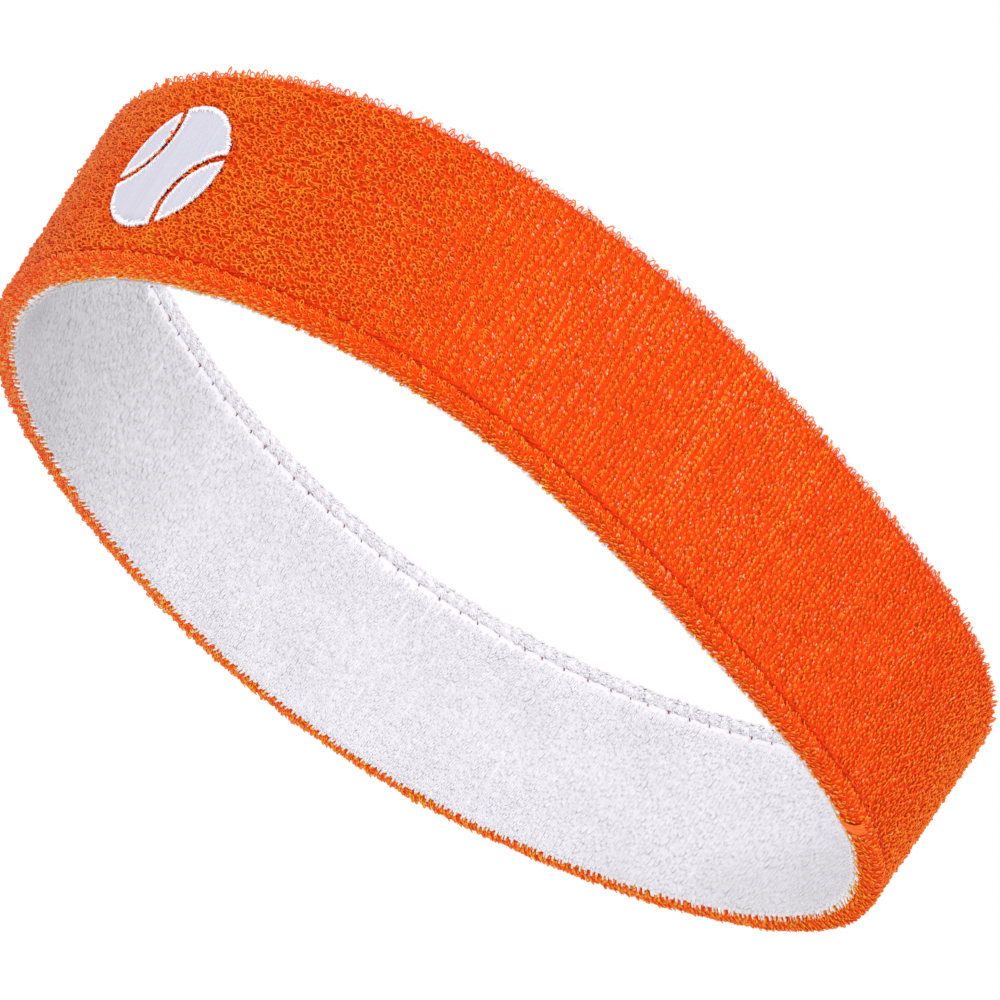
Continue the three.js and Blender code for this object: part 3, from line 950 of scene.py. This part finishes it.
def tack_threads():
    """The short bar of close stitches where the linking thread is fastened off."""
    source = np.random.default_rng(65)
    first, last = lower_roll.span(-125, -25)
    t = np.linspace(0, 1, TACK_POINTS)
    order = (np.arange(TACK_THREADS) - (TACK_THREADS - 1) / 2)[:, None]
    angle = TACK_ANGLE + order * TACK_PITCH / BAND_RADIUS
    angle = angle + TACK_SKEW * t[None] + source.normal(0, 0.0004, (TACK_THREADS, 1))
    along = first + (last - first) * t[None] + source.normal(0, 0.12, (TACK_THREADS, 1))
    lift = 0.45 + 0.25 * np.sin(t * math.pi)[None] + source.normal(0, 0.04, (TACK_THREADS, 1))
    paths, across, _, _ = lower_roll.surface(angle, along, lift)
    tints = np.ones((TACK_THREADS, TACK_POINTS, 3)) * TACK_TINT
    radii = np.full((TACK_THREADS, TACK_POINTS), TACK_YARN)
    return thread_piece("linking_tack_threads", paths, radii, across[:, 0], tints, orange_terry)


tack = tack_threads()


# ---- Emblem threads ----
EMBLEM_OUT = np.array([math.sin(EMBLEM_ANGLE), -math.cos(EMBLEM_ANGLE), 0.0])
FILL_PITCH, FILL_INSET = 0.36, 0.35
EDGE_PITCH, EDGE_LENGTH, EDGE_SLANT, EDGE_OVERHANG = 0.30, 0.85, 0.15, 0.05
EDGE_LOOK_AHEAD = 0.2  # how far on the direction of the outline is taken


def emblem_threads(name, start, end, points, rise, yarn, tint_spread, source, material):
    """Threads on the emblem's face from start to end, both (count, 2) about its centre."""
    t = np.linspace(0, 1, points)
    flat = start[:, None] + (end - start)[:, None] * t[None, :, None]
    angle = EMBLEM_ANGLE + flat[..., 0] / EMBLEM_ARC_RADIUS
    height = EMBLEM_HEIGHT + flat[..., 1]
    arch = rise * (1 - (2 * t - 1) ** 4)[None]
    paths = place(angle, EMBLEM_FACE - EMBLEM_SINK + arch, height)
    count = len(start)
    out = np.tile(EMBLEM_OUT, (count, 1))
    shade = 1 + source.normal(0, tint_spread, count)
    tints = np.ones((count, points, 3)) * shade[:, None, None]
    return thread_piece(name, paths, np.full((count, points), yarn), out, tints, material)


def crossings(outline, level):
    """Heights where a closed outline crosses an upright line."""
    start, end = outline, np.roll(outline, -1, axis=0)
    hit = (start[:, 0] > level) != (end[:, 0] > level)
    a, b = start[hit], end[hit]
    return np.sort(a[:, 1] + (level - a[:, 0]) / (b[:, 0] - a[:, 0]) * (b[:, 1] - a[:, 1]))


def emblem_fill(name, outline, seed):
    """Upright satin stitches that fill a panel."""
    starts, ends = [], []
    for level in np.arange(outline[:, 0].min() + 0.3, outline[:, 0].max() - 0.2, FILL_PITCH):
        heights = crossings(outline, level)
        for low, high in zip(heights[0::2], heights[1::2]):
            starts.append((level, low + FILL_INSET))
            ends.append((level, high - FILL_INSET))
    return emblem_threads(name, np.array(starts), np.array(ends), points=12, rise=0.10, yarn=0.21,
                          tint_spread=0.02, source=np.random.default_rng(seed),
                          material=satin_fill)


def emblem_border(name, outline, seed):
    """Short satin stitches across a panel's outline."""
    source = np.random.default_rng(seed)
    closed = np.concatenate([outline, outline[:1]])
    along = np.concatenate([[0.0], np.cumsum(np.hypot(*np.diff(closed, axis=0).T))])
    count = int(along[-1] / EDGE_PITCH)
    at = (np.arange(count) + 0.5) / count * along[-1]
    beyond = at + EDGE_LOOK_AHEAD
    spot = np.stack([np.interp(at, along, closed[:, 0]), np.interp(at, along, closed[:, 1])], -1)
    ahead = np.stack([np.interp(beyond, along, closed[:, 0], period=along[-1]),
                      np.interp(beyond, along, closed[:, 1], period=along[-1])], -1) - spot
    ahead = unit(ahead)
    outwards = np.stack([ahead[:, 1], -ahead[:, 0]], axis=-1)
    length = EDGE_LENGTH + source.normal(0, 0.2, count)
    inner = spot - outwards * length[:, None] + ahead * EDGE_SLANT
    overhang = EDGE_OVERHANG + source.normal(0, 0.10, count)
    outer = spot + outwards * overhang[:, None]
    return emblem_threads(name, inner, outer, points=7, rise=0.26, yarn=0.14, tint_spread=0.03,
                          source=source, material=satin_edge)


emblem_pieces = {}
for number, (panel, outline) in enumerate(PANELS.items()):
    emblem_pieces[panel] = [emblem_fill(f"emblem_{panel}_fill", outline, 70 + number),
                            emblem_border(f"emblem_{panel}_edge", outline, 80 + number)]


# ==== Each piece on the body, in place of its CAD parts ====

def declare(pieces, slot, *nodes):
    for piece in pieces:
        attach(piece, BODY)
        if nodes:
            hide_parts(*nodes)


declare([outer_ground] + outer_loop_pieces, "orange_terry", "outer_terry_layer")
declare([flecks], "white_thread", "outer_terry_layer")
declare([inner_ground] + inner_loop_pieces, "white_terry", "inner_terry_layer")
declare([lower_ground] + lower_loop_pieces, "orange_terry", "lower_welt")
declare([upper_ground] + upper_loop_pieces, "white_terry", "upper_welt")
declare([lower_link], "orange_thread", "lower_linking_thread")
declare([upper_link], "red_thread", "upper_linking_thread")
declare([lower_edge], "white_thread", "lower_edge_stitch")
declare([upper_edge], "orange_thread", "upper_edge_stitch")
declare([tack], "orange_thread", "linking_tack")
for panel, pieces in emblem_pieces.items():
    declare(pieces, "satin_thread", f"emblem_{panel}_panel")


def dress(node, material):
    node.data.materials.clear()
    node.data.materials.append(material)


for node_name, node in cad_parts.items():
    if node_name.startswith("elastic_thread"):
        dress(node, elastic_cover)
    if node_name == "emblem_backing":
        dress(node, backing_felt)


# ==== Floor, light and camera ====

CAMERA_AZIMUTH = math.radians(50.0)
CAMERA_ELEVATION = math.radians(-21.7)
CAMERA_ROLL = math.radians(33.2)
CAMERA_DISTANCE = 0.7093
CAMERA_LENS = 134.8
CAMERA_SHIFT = (0.0254, 0.0283)
CLIP_START, CLIP_END = 0.01, 20
FLOOR_SIZE, FLOOR_DROP = 6, 0.0002
FLOOR_GREY, FLOOR_ROUGHNESS = 0.9, 0.9


def camera_axes():
    """Directions of the picture's right and up and of the way back to the camera."""
    back = Vector((math.sin(CAMERA_AZIMUTH) * math.cos(CAMERA_ELEVATION),
                   -math.cos(CAMERA_AZIMUTH) * math.cos(CAMERA_ELEVATION),
                   math.sin(CAMERA_ELEVATION)))
    level = Vector((math.cos(CAMERA_AZIMUTH), math.sin(CAMERA_AZIMUTH), 0))
    upright = back.cross(level)
    right = math.cos(CAMERA_ROLL) * level + math.sin(CAMERA_ROLL) * upright
    up = math.cos(CAMERA_ROLL) * upright - math.sin(CAMERA_ROLL) * level
    return right, up, back


def aim(ob, spot, right, up, back):
    turned = Matrix((right, up, back)).transposed().to_4x4()
    ob.matrix_world = Matrix.Translation(spot) @ turned


target = Vector((CENTRE_X, CENTRE_Y, BAND_HEIGHT / 2)) * MM
right, up, back = camera_axes()
camera = bpy.data.objects.new("camera", bpy.data.cameras.new("camera"))
bpy.context.scene.collection.objects.link(camera)
camera.data.lens = CAMERA_LENS
camera.data.shift_x, camera.data.shift_y = CAMERA_SHIFT
camera.data.clip_start = CLIP_START
camera.data.clip_end = CLIP_END
aim(camera, target + CAMERA_DISTANCE * back, right, up, back)
bpy.context.scene.camera = camera


def area_light(name, direction, distance, size, watts):
    """A square soft white light that looks at the headband from a direction."""
    light = bpy.data.lights.new(name, "AREA")
    light.shape = "SQUARE"
    light.size = size
    light.energy = watts
    ob = bpy.data.objects.new(name, light)
    bpy.context.scene.collection.objects.link(ob)
    way = direction.normalized()
    ob.rotation_euler = way.to_track_quat("Z", "Y").to_euler()
    ob.location = target + distance * way


area_light("key", 0.55 * right + 0.75 * up + 0.75 * back, distance=1.1, size=0.5, watts=4)
area_light("fill", -0.5 * right - 0.45 * up + 0.9 * back, distance=1.2, size=0.8, watts=1.5)

world = bpy.data.worlds.new("studio")
bpy.context.scene.world = world
world.use_nodes = True
world.node_tree.nodes["Background"].inputs["Color"].default_value = (1, 1, 1, 1)
world.node_tree.nodes["Background"].inputs["Strength"].default_value = 1.0


def floor_material():
    """Pale from above and clear from below, so that a low camera sees the headband."""
    material = bpy.data.materials.new("pale_floor")
    material.use_nodes = True
    nodes = material.node_tree.nodes
    links = material.node_tree.links
    shader = nodes["Principled BSDF"]
    shader.inputs["Base Color"].default_value = (FLOOR_GREY, FLOOR_GREY, FLOOR_GREY, 1)
    shader.inputs["Roughness"].default_value = FLOOR_ROUGHNESS
    clear = nodes.new("ShaderNodeBsdfTransparent")
    geometry = nodes.new("ShaderNodeNewGeometry")
    mix = nodes.new("ShaderNodeMixShader")
    links.new(geometry.outputs["Backfacing"], mix.inputs["Fac"])
    links.new(shader.outputs["BSDF"], mix.inputs[1])
    links.new(clear.outputs["BSDF"], mix.inputs[2])
    links.new(mix.outputs["Shader"], nodes["Material Output"].inputs["Surface"])
    return material


bpy.ops.mesh.primitive_plane_add(size=FLOOR_SIZE, location=(0, 0, -FLOOR_DROP))
floor = bpy.context.object
floor.name = "floor"
floor.data.materials.append(floor_material())
floor.visible_shadow = False
floor.visible_diffuse = False
floor.visible_glossy = False

view = bpy.context.scene.view_settings
view.view_transform = "Standard"
view.look = "None"
